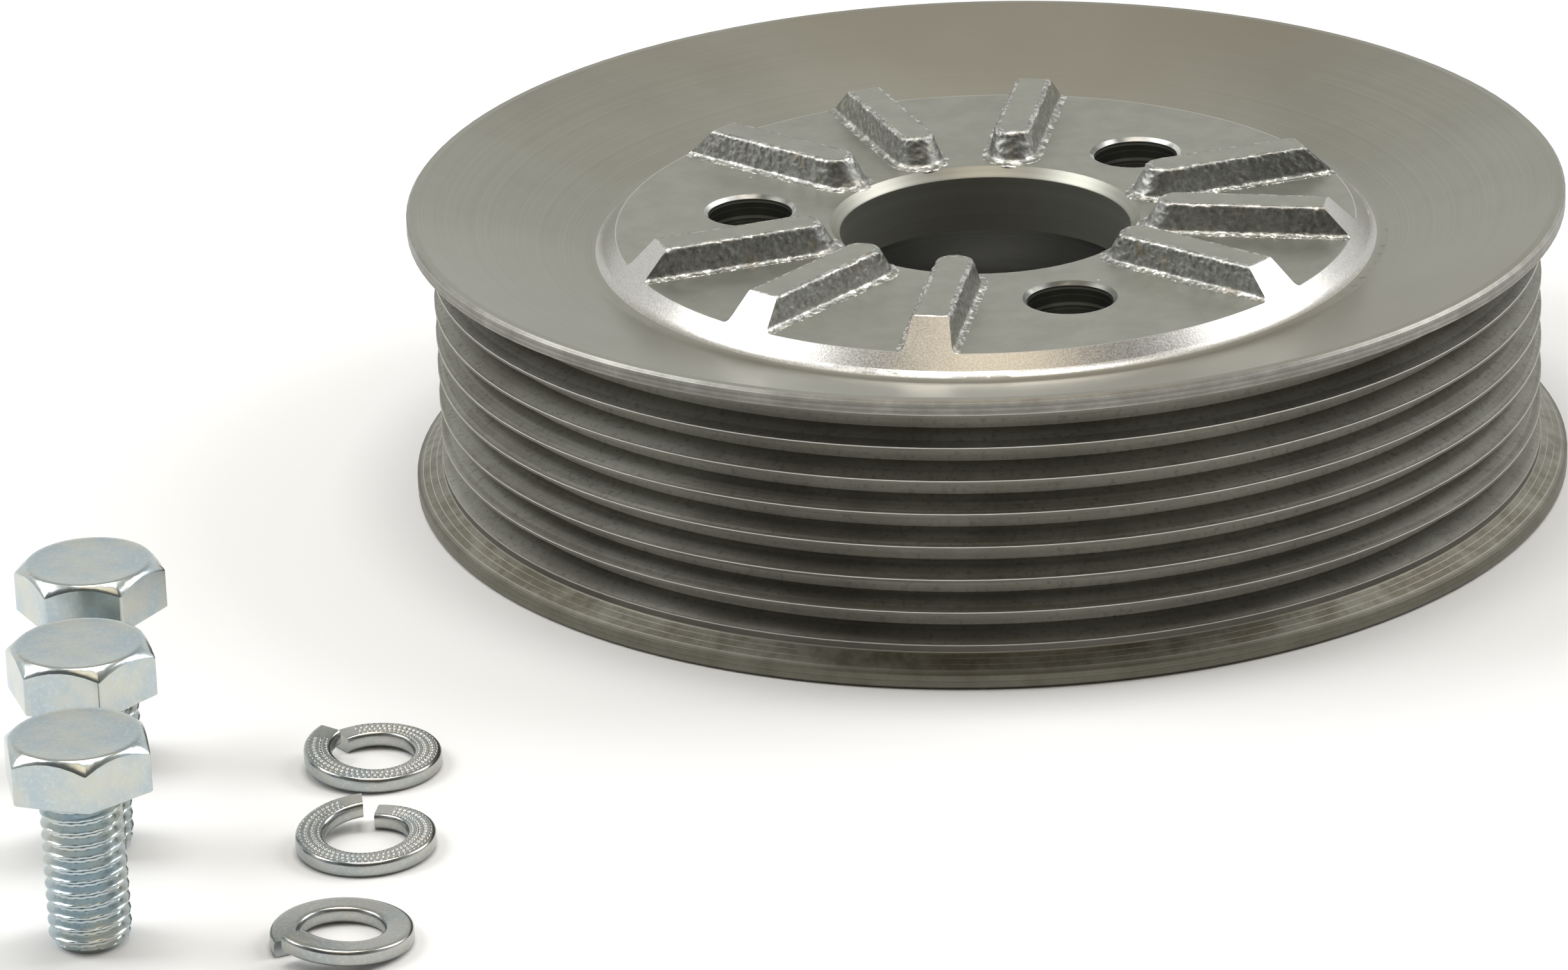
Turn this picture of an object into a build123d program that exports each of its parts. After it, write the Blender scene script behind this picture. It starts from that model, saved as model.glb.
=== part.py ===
from build123d import *
from math import atan, cos, degrees, pi, radians, sin, tan
import os

# Electromagnetic clutch. Millimetres. The clutch axis is Z, the rear face is z = 0
# and the ribbed front of the pulley faces +Z.

# Belt pulley, outside
crest_r = 58.9
groove_count = 7
groove_pitch = 3.56
groove_depth = 2.85
crest_flat = 0.36
groove_angle = 40.0
first_crest_z = 3.55
rear_flange_r = 61.7
rear_flange_z = 1.58
rear_land_z = 2.9
front_flange_r = 61.4
front_flange_z = 29.6
front_land_z = 29.1
pulley_height = 31.1
rim_bevel = 0.3
rim_inner_r = 52.5

# Belt pulley, front web
dish_outer_r = 60.4
dish_inner_r = 42.4
dish_inner_z = 25.5
plate_edge_r = 39.4
plate_z = 27.5
cone_foot_fillet = 2.0
web_rear_z = 20.5
web_relief_z = 21.5
web_relief_r = 46.5
web_corner_z = 23.4
blank_step_r = 47.0
pilot_r = 32.0
pilot_gap = 0.05
access_r = 15.5
access_chamfer = 1.0
dish_slope = (pulley_height - dish_inner_z) / (dish_outer_r - dish_inner_r)

# Ribs and bolt holes share twelve places round the web
bolt_pcd = 51.0
bolt_hole_r = 4.5
bolt_hole_chamfer = 0.4
first_hole_az = 48.0
place_step = 30.0
rib_lead = 1.2
rib_base_width = 5.4
rib_top_width = 3.65
rib_inner_r = 16.8
rib_nose_r = 18.9
rib_outer_r = 45.0
rib_root_z = 27.0
rib_top_z = 30.5
rib_foot_fillet = 0.8
rib_top_fillet = 0.3

# Driving hub behind the web
hub_flange_z = 13.5
hub_flange_r = 30.8
hub_step_z = 16.0
hub_step_r = 33.0
brim_r = 44.5
brim_z = 19.02
brim_top_z = 21.3
hub_bore_r = 16.0
tap_drill_r = 3.4
housing_r = 21.0
housing_z = 3.4
housing_lip_r = 14.2
clip_z = 13.4
clip_t = 1.0
housing_groove_r = 16.9

# Rotor and its hub
shaft_r = 5.0
sleeve_r = 7.5
sleeve_z = 14.9
sleeve_chamfer = 0.3
spigot_r = 12.0
shoulder_r = 9.4
bearing_z = 4.4
key_width = 3.0
key_depth = 1.2
sleeve_groove_r = 6.9
rotor_web_t = 2.9
pole_inner_r = 31.4
pole_outer_r = 34.0
disc_z = 11.5
disc_top_z = 15.5
disc_r = 50.5
rim_pole_r = 47.7
rim_pole_z = 1.0
disc_slot_count = 6
disc_slot_w = 1.6
disc_slot_r = (37.0, 45.2)
disc_slot_span = 48.0
lining_r = (39.9, 42.4)
lining_z = 13.7

# Ball bearing 15 x 32 x 9
ring_inner_r = 9.6
ring_outer_r = 13.9
bearing_w = 9.0
ball_r = 2.38
ball_gap = 0.05
ball_count = 9
ball_circle_r = 11.75
seal_t = 0.6
seal_inset = 0.3
seal_gap = 0.1
cage_r = (10.7, 12.8)
cage_z = (5.6, 9.9)

# Armature and leaf springs
armature_r = (35.2, 50.0)
armature_z = (16.0, 18.5)
armature_slot_r = 41.2
armature_slot_w = 1.4
leaf_t = 0.5
leaf_width = 5.0
leaf_count = 3
leaf_hub_r = 39.5
leaf_plate_r = 47.4
leaf_span = 48.0
leaf_first_az = 0.0
rivet_r = 1.5
rivet_head_r = 2.3
rivet_head_t = 0.7
rivet_clear_r = 2.9

# Field coil
field_r = (34.8, 46.9)
plate_t = 2.0
shell_wall = 2.0
shell_floor = 2.4
shell_top_z = 11.0
bobbin_wall = 0.8
bobbin_top_z = 10.4
winding_r = 44.3
field_pcd = 82.0
field_hole_r = 1.65
field_hole_depth = 3.4
field_hole_count = 4
terminal_size = (13.0, 6.4, 4.1)
terminal_rear_z = 0.3
terminal_wall = 0.9
terminal_socket = 3.0
terminal_r = 40.85
blade_size = (2.8, 0.8, 2.4)
blade_offset = 2.9

# Loose fasteners: M8 x 16 screws standing on their tips, M8 spring washers lying flat
screw_r = 3.95
screw_pitch = 1.25
screw_thread_depth = 0.68
screw_length = 16.0
screw_tip = 1.0
head_af = 13.0
head_t = 5.3
head_crown = 30.0
screw_places = ((-89.2, -112.0, 280.0), (-90.4, -90.6, 288.0), (-90.9, -70.4, 298.0))
washer_inner_r = 4.1
washer_section = (2.7, 1.6)
washer_rise = 1.4
washer_gap = 7.0
washer_steps = 36
washer_places = ((-65.4, -114.8, 210.0), (-63.9, -93.8, 88.0), (-63.9, -74.7, 135.0))


def at(r, az, z=0.0):
    """The point at radius r and azimuth az."""
    return Vector(r * cos(radians(az)), r * sin(radians(az)), z)


def turned(points):
    """The solid swept by a closed outline of (radius, height) points."""
    outline = Polyline([(r, 0, z) for r, z in points], close=True)
    return revolve(make_face(outline), Axis.Z)


def tube(r_in, r_out, z0, z1):
    """A plain ring."""
    return turned([(r_in, z0), (r_out, z0), (r_out, z1), (r_in, z1)])


def rod(r, z0, z1, x=0.0, y=0.0):
    """A plain upright cylinder."""
    return Pos(x, y, (z0 + z1) / 2) * Cylinder(r, z1 - z0)


def flare(r0, r1, z0, z1, x=0.0, y=0.0):
    """An upright cone frustum with radius r0 at z0 and r1 at z1."""
    return Pos(x, y, (z0 + z1) / 2) * Cone(r0, r1, z1 - z0)


def arc_slot(r, width, span, az, z0, z1):
    """A slot along an arc, with rounded ends."""
    ring = tube(r - width / 2, r + width / 2, z0, z1)
    reach = 2 * r
    corners = [(0, 0)]
    for step in range(5):
        v = at(reach, az - span / 2 + span * step / 4)
        corners.append((v.X, v.Y))
    wedge = Pos(0, 0, z0) * extrude(make_face(Polyline(corners, close=True)), z1 - z0)
    slot = ring & wedge
    for end in (az - span / 2, az + span / 2):
        v = at(r, end)
        slot += rod(width / 2, z0, z1, v.X, v.Y)
    return slot


def groove_profile():
    """Outline of the poly-V grooves, from the rear land to the front land."""
    slope = groove_depth * tan(radians(groove_angle / 2))
    points = []
    for n in range(groove_count):
        start = first_crest_z + n * groove_pitch + crest_flat / 2
        end = start + groove_pitch - crest_flat
        points.append((crest_r, start))
        points.append((crest_r - groove_depth, start + slope))
        points.append((crest_r - groove_depth, end - slope))
        points.append((crest_r, end))
    return points


def pulley_blank():
    """The casting of the pulley, before ribs, bolt holes and the dished front face."""
    points = [(rim_inner_r + 0.6, 0), (rear_flange_r - rim_bevel, 0)]
    points += [(rear_flange_r, rim_bevel), (rear_flange_r, rear_flange_z)]
    points += [(crest_r, rear_land_z)]
    points += groove_profile()
    points += [(crest_r, front_land_z), (front_flange_r, front_flange_z)]
    points += [(front_flange_r, pulley_height - rim_bevel)]
    points += [(front_flange_r - rim_bevel, pulley_height)]
    points += [(blank_step_r, pulley_height), (blank_step_r, plate_z)]
    points += [(access_r + access_chamfer, plate_z), (access_r, plate_z - access_chamfer)]
    points += [(access_r, web_rear_z), (pilot_r - pilot_gap, web_rear_z)]
    points += [(pilot_r - pilot_gap, web_relief_z), (web_relief_r, web_relief_z)]
    points += [(rim_inner_r - 2.0, web_corner_z - 0.6), (rim_inner_r, web_corner_z - 2.0)]
    points += [(rim_inner_r, 0.6)]
    return turned(points)


def rib_outline(r_in, width, z):
    """The round-ended outline of a rib at height z."""
    middle = (rib_outer_r + r_in) / 2
    return Pos(middle, 0, z) * SlotOverall(rib_outer_r - r_in, width)


def rib(az):
    """One drafted rib on the web, longer than it is left by the turning of the front."""
    foot = rib_outline(rib_inner_r, rib_base_width, rib_root_z)
    top = rib_outline(rib_nose_r, rib_top_width, rib_top_z)
    return Rot(0, 0, az) * loft([foot, top], ruled=True)


def front_turning():
    """What is turned away in front: the dish and the cone that ends the plate and ribs."""
    above = pulley_height + 2.0
    dish_outer = dish_outer_r + (above - pulley_height) / dish_slope
    cone_inner = plate_edge_r + plate_z - above
    foot_r = (plate_edge_r + plate_z - dish_inner_z + dish_inner_r * dish_slope) / (1 + dish_slope)
    foot_z = plate_edge_r + plate_z - foot_r
    corners = [(dish_outer, 0, above), (foot_r, 0, foot_z), (cone_inner, 0, above)]
    outline = make_face(Polyline(corners, close=True))
    foot = outline.vertices().sort_by(Axis.Z)[0]
    return revolve(fillet(foot, cone_foot_fillet), Axis.Z)


def place_azimuths():
    """The azimuths of the twelve places, split into bolt holes and ribs."""
    holes = [first_hole_az + 120.0 * n for n in range(3)]
    places = [first_hole_az + place_step * n for n in range(12)]
    ribs = [az + rib_lead for az in places if az not in holes]
    return holes, ribs


def flat_edges(shape, z, r_in, r_out):
    """Edges that lie flat at height z, with their middles between two radii."""
    found = []
    for edge in shape.edges():
        box = edge.bounding_box()
        middle = edge @ 0.5
        flat = abs(box.min.Z - z) < 0.001 and abs(box.max.Z - z) < 0.001
        if flat and r_in < Vector(middle.X, middle.Y, 0).length < r_out:
            found.append(edge)
    return found


def belt_pulley():
    """Pulley with poly-V grooves, dished front, ribs, bolt holes and access bore."""
    holes, ribs = place_azimuths()
    pulley = pulley_blank() + [rib(az) for az in ribs]
    pulley -= front_turning()
    r_in = access_r + access_chamfer + 0.1
    r_out = plate_edge_r - 0.1
    pulley = pulley.fillet(rib_foot_fillet, flat_edges(pulley, plate_z, r_in, r_out))
    pulley = pulley.fillet(rib_top_fillet, flat_edges(pulley, rib_top_z, r_in, r_out))
    for az in holes:
        v = at(bolt_pcd / 2, az)
        pulley -= rod(bolt_hole_r, web_rear_z - 1, plate_z + 1, v.X, v.Y)
        edge = bolt_hole_r + bolt_hole_chamfer
        pulley -= flare(bolt_hole_r, edge, plate_z - bolt_hole_chamfer, plate_z, v.X, v.Y)
    return pulley


def driving_hub():
    """Hub bolted behind the web: bearing housing, tapped flange and spring brim."""
    hub = turned(
        [
            (housing_lip_r, housing_z),
            (housing_r - 0.5, housing_z),
            (housing_r, housing_z + 0.5),
            (housing_r, hub_flange_z),
            (hub_flange_r, hub_flange_z),
            (hub_flange_r, hub_step_z),
            (hub_step_r, hub_step_z),
            (hub_step_r, brim_z),
            (brim_r, brim_z),
            (brim_r, brim_top_z),
            (pilot_r, brim_top_z),
            (pilot_r, web_rear_z),
            (hub_bore_r, web_rear_z),
            (hub_bore_r, clip_z + clip_t),
            (housing_groove_r, clip_z + clip_t),
            (housing_groove_r, clip_z),
            (hub_bore_r, clip_z),
            (hub_bore_r, bearing_z),
            (housing_lip_r, bearing_z),
        ]
    )
    for az in place_azimuths()[0]:
        v = at(bolt_pcd / 2, az)
        hub -= rod(tap_drill_r, hub_flange_z - 1, web_rear_z + 1, v.X, v.Y)
        hub -= flare(tap_drill_r, tap_drill_r + 0.7, web_rear_z - 0.7, web_rear_z, v.X, v.Y)
    for n in range(leaf_count):
        v = at(leaf_hub_r, leaf_first_az + 120.0 * n)
        hub -= rod(rivet_r, brim_z - 1, brim_top_z + 1, v.X, v.Y)
        hub -= flare(rivet_r, rivet_head_r, brim_top_z - 0.8, brim_top_z, v.X, v.Y)
    return hub


def hub_rivets():
    """Countersunk rivets that hold the leaf springs to the brim of the driving hub."""
    rivets = []
    for n in range(leaf_count):
        v = at(leaf_hub_r, leaf_first_az + 120.0 * n)
        one = rod(rivet_r, armature_z[1], brim_top_z, v.X, v.Y)
        one += flare(rivet_r, rivet_head_r, brim_top_z - 0.8, brim_top_z, v.X, v.Y)
        one += rod(rivet_head_r, armature_z[1] - rivet_head_t, armature_z[1], v.X, v.Y)
        rivets.append(one)
    return Compound(rivets)


def rotor_hub():
    """Keyed sleeve that carries the rotor, with its bearing shoulder and clip groove."""
    hub = turned(
        [
            (shaft_r, 0),
            (spigot_r, 0),
            (spigot_r, rotor_web_t),
            (shoulder_r, rotor_web_t),
            (shoulder_r, bearing_z),
            (sleeve_r, bearing_z),
            (sleeve_r, clip_z),
            (sleeve_groove_r, clip_z),
            (sleeve_groove_r, clip_z + clip_t),
            (sleeve_r, clip_z + clip_t),
            (sleeve_r, sleeve_z - sleeve_chamfer),
            (sleeve_r - sleeve_chamfer, sleeve_z),
            (shaft_r + sleeve_chamfer, sleeve_z),
            (shaft_r, sleeve_z - sleeve_chamfer),
        ]
    )
    keyway = Pos((shaft_r + key_depth) / 2, 0, sleeve_z / 2)
    return hub - keyway * Box(shaft_r + key_depth, key_width, sleeve_z + 1)


def rotor():
    """Steel rotor: rear web, inner and outer poles and the slotted friction disc."""
    body = turned(
        [
            (spigot_r, 0),
            (pole_outer_r - 0.4, 0),
            (pole_outer_r, 0.4),
            (pole_outer_r, disc_z),
            (rim_pole_r, disc_z),
            (rim_pole_r, rim_pole_z),
            (disc_r, rim_pole_z),
            (disc_r, disc_top_z),
            (lining_r[1], disc_top_z),
            (lining_r[1], lining_z),
            (lining_r[0], lining_z),
            (lining_r[0], disc_top_z),
            (pole_inner_r, disc_top_z),
            (pole_inner_r, rotor_web_t),
            (spigot_r, rotor_web_t),
        ]
    )
    step = 360.0 / disc_slot_count
    for ring, r in enumerate(disc_slot_r):
        for n in range(disc_slot_count):
            az = n * step + ring * step / 2
            body -= arc_slot(r, disc_slot_w, disc_slot_span, az, disc_z - 1, disc_top_z + 1)
    return body


def retaining_ring(r_in, r_out, gap_az, lug_r, lug_side):
    """A split ring with two holed lugs beside its gap."""
    z0 = clip_z
    z1 = clip_z + clip_t
    ring = tube(r_in, r_out, z0, z1)
    middle = (r_in + r_out) / 2
    ring -= Rot(0, 0, gap_az) * Pos(middle, 0, (z0 + z1) / 2) * Box(8, 2.0, clip_t * 2)
    for side in (-1, 1):
        v = at(lug_r, gap_az + side * lug_side)
        ring += rod(1.2, z0, z1, v.X, v.Y)
        ring -= rod(0.6, z0 - 1, z1 + 1, v.X, v.Y)
    return ring


def housing_clip():
    """Internal retaining ring that holds the bearing in the driving hub."""
    return retaining_ring(14.5, housing_groove_r, 270.0, 14.3, 9.0)


def sleeve_clip():
    """External retaining ring that holds the bearing on the rotor hub."""
    return retaining_ring(sleeve_groove_r, 9.0, 90.0, 8.8, 15.0)


def friction_ring():
    """Lining pressed into the front of the rotor."""
    return tube(lining_r[0], lining_r[1], lining_z, disc_top_z)


def race(r_in, r_out):
    """A bearing ring with its ball track."""
    ring = tube(r_in, r_out, bearing_z, bearing_z + bearing_w)
    track = Torus(ball_circle_r, ball_r + ball_gap)
    return ring - Pos(0, 0, bearing_z + bearing_w / 2) * track


def bearing_inner_ring():
    """Inner ring, pushed on the sleeve of the rotor hub."""
    return race(sleeve_r, ring_inner_r)


def bearing_outer_ring():
    """Outer ring, pushed into the housing of the driving hub."""
    return race(ring_outer_r, hub_bore_r)


def ball_places():
    """Centres of the bearing balls."""
    z = bearing_z + bearing_w / 2
    return [at(ball_circle_r, 360.0 * n / ball_count, z) for n in range(ball_count)]


def bearing_balls():
    """The balls of the bearing."""
    return Compound([Pos(v.X, v.Y, v.Z) * Sphere(ball_r) for v in ball_places()])


def bearing_cage():
    """Crown cage that spaces the balls."""
    cage = tube(cage_r[0], cage_r[1], cage_z[0], cage_z[1])
    for v in ball_places():
        cage -= Pos(v.X, v.Y, v.Z) * Sphere(ball_r + ball_gap)
    return cage


def bearing_seals():
    """The two seals, held by the outer ring and clear of the inner one."""
    rear = bearing_z + seal_inset
    front = bearing_z + bearing_w - seal_inset - seal_t
    r_in = ring_inner_r + seal_gap
    return Compound([tube(r_in, ring_outer_r, z, z + seal_t) for z in (rear, front)])


def armature_plate():
    """Steel ring that the coil pulls against the rotor."""
    plate = tube(armature_r[0], armature_r[1], armature_z[0], armature_z[1])
    z0 = armature_z[0] - 1
    z1 = armature_z[1] + 1
    for n in range(leaf_count):
        az = leaf_first_az + 120.0 * n
        v = at(leaf_hub_r, az)
        plate -= rod(rivet_clear_r, z0, z1, v.X, v.Y)
        v = at(leaf_plate_r, az + leaf_span)
        plate -= rod(rivet_r, z0, z1, v.X, v.Y)
        plate -= flare(rivet_head_r, rivet_r, armature_z[0], armature_z[0] + 0.8, v.X, v.Y)
        for offset in (30.0, 88.0):
            plate -= arc_slot(armature_slot_r, armature_slot_w, 34.0, az + offset, z0, z1)
    return plate


def armature_rivets():
    """Rivets that hold the leaf springs to the armature plate."""
    rivets = []
    spring_top = armature_z[1] + leaf_t
    for n in range(leaf_count):
        v = at(leaf_plate_r, leaf_first_az + 120.0 * n + leaf_span)
        one = rod(rivet_r, armature_z[0], spring_top, v.X, v.Y)
        one += flare(rivet_head_r, rivet_r, armature_z[0], armature_z[0] + 0.8, v.X, v.Y)
        one += flare(rivet_head_r, rivet_r + 0.2, spring_top, spring_top + rivet_head_t, v.X, v.Y)
        rivets.append(one)
    return Compound(rivets)


def leaf_spring(az):
    """One flat strap from a hub rivet to an armature rivet."""
    a = at(leaf_hub_r, az)
    b = at(leaf_plate_r, az + leaf_span)
    strap = SlotCenterToCenter((b - a).length, leaf_width)
    turn = degrees(atan((b.Y - a.Y) / (b.X - a.X)))
    middle = (a + b) * 0.5
    leaf = extrude(Pos(middle.X, middle.Y, armature_z[1]) * Rot(0, 0, turn) * strap, leaf_t)
    for v in (a, b):
        leaf -= rod(rivet_r, armature_z[1] - 1, armature_z[1] + 2, v.X, v.Y)
    return leaf


def leaf_springs():
    """The three leaf springs that pull the armature back from the rotor."""
    return Compound([leaf_spring(leaf_first_az + 120.0 * n) for n in range(leaf_count)])


def terminal_window(grow=0.0):
    """The cut-out for the terminal block, grown by a margin in plan."""
    size = (terminal_size[0] + 2 * grow, terminal_size[1] + 2 * grow)
    return Pos(0, terminal_r, 2) * Box(size[0], size[1], 10)


def field_holes():
    """The tapped holes that hold the field coil on the machine."""
    holes = []
    for n in range(field_hole_count):
        v = at(field_pcd / 2, 45.0 + 90.0 * n)
        holes.append(rod(field_hole_r, -1, field_hole_depth, v.X, v.Y))
    return holes


def mounting_plate():
    """Rear plate of the field coil, with four tapped holes and a terminal window."""
    plate = tube(field_r[0], field_r[1], 0, plate_t)
    for hole in field_holes():
        plate -= hole
    return plate - terminal_window(0.05)


def coil_housing():
    """Steel shell round the coil, open towards the rotor disc."""
    floor_z = plate_t + shell_floor
    shell = turned(
        [
            (field_r[0], plate_t),
            (field_r[1], plate_t),
            (field_r[1], shell_top_z),
            (field_r[1] - shell_wall, shell_top_z),
            (field_r[1] - shell_wall, floor_z),
            (field_r[0] + shell_wall, floor_z),
            (field_r[0] + shell_wall, shell_top_z),
            (field_r[0], shell_top_z),
        ]
    )
    for hole in field_holes():
        shell -= hole
    size = (terminal_size[0] + 0.1, terminal_size[1] + 0.1)
    return shell - Pos(0, terminal_r, plate_t) * Box(size[0], size[1], 6)


def coil_bobbin():
    """Plastic bobbin in the coil housing."""
    r0 = field_r[0] + shell_wall
    r1 = field_r[1] - shell_wall
    z0 = plate_t + shell_floor
    return turned(
        [
            (r0, z0),
            (r1, z0),
            (r1, z0 + bobbin_wall),
            (r0 + bobbin_wall, z0 + bobbin_wall),
            (r0 + bobbin_wall, bobbin_top_z - bobbin_wall),
            (r1, bobbin_top_z - bobbin_wall),
            (r1, bobbin_top_z),
            (r0, bobbin_top_z),
        ]
    )


def coil_winding():
    """Enamelled copper winding, as one ring."""
    r0 = field_r[0] + shell_wall + bobbin_wall
    z0 = plate_t + shell_floor + bobbin_wall
    return tube(r0, winding_r, z0, bobbin_top_z - bobbin_wall)


def potting_ring():
    """Resin that closes the mouth of the coil housing."""
    r0 = field_r[0] + shell_wall
    r1 = field_r[1] - shell_wall
    return tube(r0, r1, bobbin_top_z, shell_top_z)


def terminal_block():
    """Plug socket for the coil, sunk in the rear plate and open to the rear."""
    middle = Pos(0, terminal_r, terminal_rear_z + terminal_size[2] / 2)
    block = middle * Box(*terminal_size)
    mouth = (terminal_size[0] - 2 * terminal_wall, terminal_size[1] - 2 * terminal_wall)
    cavity = Pos(0, terminal_r, terminal_rear_z + terminal_socket / 2)
    block -= cavity * Box(mouth[0], mouth[1], terminal_socket)
    return block


def terminal_blades():
    """The two contact blades in the socket."""
    top = terminal_rear_z + terminal_socket
    z = top - blade_size[2] / 2
    return Compound([Pos(x, terminal_r, z) * Box(*blade_size) for x in (-blade_offset, blade_offset)])


def screw_profile():
    """Outline of the threaded shank, thread drawn as rings."""
    points = [(0, 0), (screw_r - screw_tip, 0), (screw_r, screw_tip)]
    z = screw_tip + 0.2
    while z + screw_pitch < screw_length - 0.6:
        points.append((screw_r, z))
        points.append((screw_r - screw_thread_depth, z + screw_pitch * 0.42))
        points.append((screw_r - screw_thread_depth, z + screw_pitch * 0.58))
        points.append((screw_r, z + screw_pitch * 0.92))
        z += screw_pitch
    points += [(screw_r, screw_length + 0.5), (0, screw_length + 0.5)]
    return points


def mounting_screw(place):
    """Hexagon screw M8 x 16 standing on its tip, with a corner at the given azimuth."""
    x, y, corner_az = place
    corner_r = head_af / 2 / cos(pi / 6)
    hexagon = Rot(0, 0, corner_az) * RegularPolygon(corner_r, 6)
    head = extrude(Pos(0, 0, screw_length) * hexagon, head_t)
    top = screw_length + head_t
    slope = tan(radians(head_crown))
    crown_r = head_af / 2 * 0.95
    drop = (corner_r + 1.0 - crown_r) * slope
    crown = turned(
        [(0, 0), (corner_r + 1.0, 0), (corner_r + 1.0, top - drop), (crown_r, top), (0, top)]
    )
    return Pos(x, y, 0) * ((head & crown) + turned(screw_profile()))


def washer_rest(angle):
    """Height of the resting coil's underside at an angle from its low end."""
    turn = washer_rise * angle / (2 * pi)
    lean = washer_rise * (sin(angle) / (2 * pi) + (cos(angle) - 1) / 4)
    return turn + lean


def spring_washer(place):
    """Split spring washer lying on the ground, low end down and far side touching."""
    x, y, gap_az = place
    middle_r = washer_inner_r + washer_section[0] / 2
    half = radians(washer_gap)
    sections = []
    for n in range(washer_steps + 1):
        angle = half + (2 * pi - 2 * half) * n / washer_steps
        az = radians(gap_az) - angle
        centre = Vector(middle_r * cos(az), middle_r * sin(az), 0)
        centre += Vector(0, 0, washer_rest(angle) + washer_section[1] / 2)
        out = Vector(cos(az), sin(az), 0)
        plane = Plane(origin=centre, x_dir=out, z_dir=Vector(sin(az), -cos(az), 0))
        sections.append(plane * Rectangle(*washer_section))
    coil = loft(sections)
    low = coil.bounding_box().min.Z
    return Pos(x, y, -low) * coil


def save(name, shape):
    """Write one node, placed in the clutch's own frame."""
    shape.label = name
    export_step(shape, f"parts/{name}.step")


os.makedirs("parts", exist_ok=True)
save("belt_pulley", belt_pulley())
save("driving_hub", driving_hub())
save("hub_rivets", hub_rivets())
save("housing_clip", housing_clip())
save("rotor", rotor())
save("rotor_hub", rotor_hub())
save("sleeve_clip", sleeve_clip())
save("friction_ring", friction_ring())
save("bearing_inner_ring", bearing_inner_ring())
save("bearing_outer_ring", bearing_outer_ring())
save("bearing_balls", bearing_balls())
save("bearing_cage", bearing_cage())
save("bearing_seals", bearing_seals())
save("armature_plate", armature_plate())
save("armature_rivets", armature_rivets())
save("leaf_springs", leaf_springs())
save("mounting_plate", mounting_plate())
save("coil_housing", coil_housing())
save("coil_bobbin", coil_bobbin())
save("coil_winding", coil_winding())
save("potting_ring", potting_ring())
save("terminal_block", terminal_block())
save("terminal_blades", terminal_blades())
for number, place in enumerate(screw_places, 1):
    save(f"mounting_screw_{number}", mounting_screw(place))
for number, place in enumerate(washer_places, 1):
    save(f"spring_washer_{number}", spring_washer(place))
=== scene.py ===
import math

import bmesh
import bpy
from mathutils import Euler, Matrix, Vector, noise


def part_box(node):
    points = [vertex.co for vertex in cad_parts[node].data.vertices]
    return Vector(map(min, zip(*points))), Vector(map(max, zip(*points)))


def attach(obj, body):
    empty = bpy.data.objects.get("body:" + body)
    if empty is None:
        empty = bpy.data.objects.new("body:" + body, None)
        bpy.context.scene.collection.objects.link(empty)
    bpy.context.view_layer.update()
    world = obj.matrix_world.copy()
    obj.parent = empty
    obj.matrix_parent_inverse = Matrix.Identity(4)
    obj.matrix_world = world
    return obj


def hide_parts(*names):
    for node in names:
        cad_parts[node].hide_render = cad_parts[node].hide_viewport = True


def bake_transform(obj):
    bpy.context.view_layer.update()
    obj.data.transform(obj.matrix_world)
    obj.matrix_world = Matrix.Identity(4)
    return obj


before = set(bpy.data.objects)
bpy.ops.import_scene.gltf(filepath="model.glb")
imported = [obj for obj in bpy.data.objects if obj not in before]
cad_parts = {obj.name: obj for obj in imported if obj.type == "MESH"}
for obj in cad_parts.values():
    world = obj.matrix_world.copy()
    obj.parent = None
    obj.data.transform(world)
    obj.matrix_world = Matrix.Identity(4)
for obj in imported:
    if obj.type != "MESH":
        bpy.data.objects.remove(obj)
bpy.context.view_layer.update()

MM = 0.001

# Camera at the reference view
CAMERA_LENS = 177.06
CAMERA_SENSOR = 36.0
CAMERA_ELEVATION = 22.29
CAMERA_ROLL = -2.12
CAMERA_DISTANCE = 830.25 * MM
CAMERA_AIM = Vector((-22.4, -0.8, -1.9)) * MM
CAMERA_CLIP = 0.05

# Floor, room and lamps (name, place, size, watts, colour)
FLOOR_SIZE = 8.0
ROOM_FRONT = (0.13, 0.13, 0.125)
ROOM_BEHIND = (0.86, 0.87, 0.86)
ROOM_ABOVE = (0.46, 0.43, 0.37)
ROOM_BESIDE = (0.72, 0.74, 0.75)
LAMP_AIM = (0, 0, 0.02)
LAMPS = (
    ("left_light", (-0.85, 0.10, 0.86), (0.55, 0.60), 5.6, (0.98, 0.99, 1.0)),
    ("right_light", (0.88, 0.24, 0.76), (0.50, 0.70), 5.0, (0.99, 0.99, 1.0)),
    ("top_light", (0.0, 0.10, 1.20), (0.60, 0.36), 5.0, (1.0, 0.985, 0.96)),
    ("warm_light", (0.0, -0.48, 1.10), (0.62, 0.44), 1.2, (1.0, 0.84, 0.62)),
)

# Grooves of the pulley; heights and depths of the zones are those of the part
GROOVE_PITCH = 3.56 * MM
FIRST_CREST_Z = 3.55 * MM
CREST_R = 58.9 * MM
ROOT_R = 56.05 * MM
GROOVE_R = (55.0 * MM, 58.74 * MM)
GROOVE_Z = (3.0 * MM, 28.7 * MM)
# Heights of the painted highlight line along the ridge tips
CREST_Z = (3.4 * MM, 28.9 * MM)
# Heights of the painted shade on the downward-facing underside of each ridge
CREST_UNDERSIDE_SHADE_Z = (3.0 * MM, 28.9 * MM)

# Other zones of the pulley
REAR_R = (32.2 * MM, 52.3 * MM)
REAR_Z = (20.9 * MM, 25.2 * MM)
CONE_R = (36.0 * MM, 41.6 * MM)
# Heights of the painted shade under the dish's overhanging outer edge
DISH_UNDERSIDE_SHADE_Z = (28.9 * MM, 29.58 * MM)
FLANGE_Z = (1.6 * MM, 2.86 * MM)
FLANGE_RING_PITCH = 0.74 * MM
BORE_R = 15.5 * MM

# Places round the web of the pulley
FIRST_HOLE_AZ = 48.0
PLACE_STEP = 30.0
PLACES = 12
HOLES = (0, 4, 8)
HOLE_CIRCLE_R = 25.5 * MM
HOLE_R = 4.5 * MM
HOLE_CHAMFER = 0.4 * MM

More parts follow.
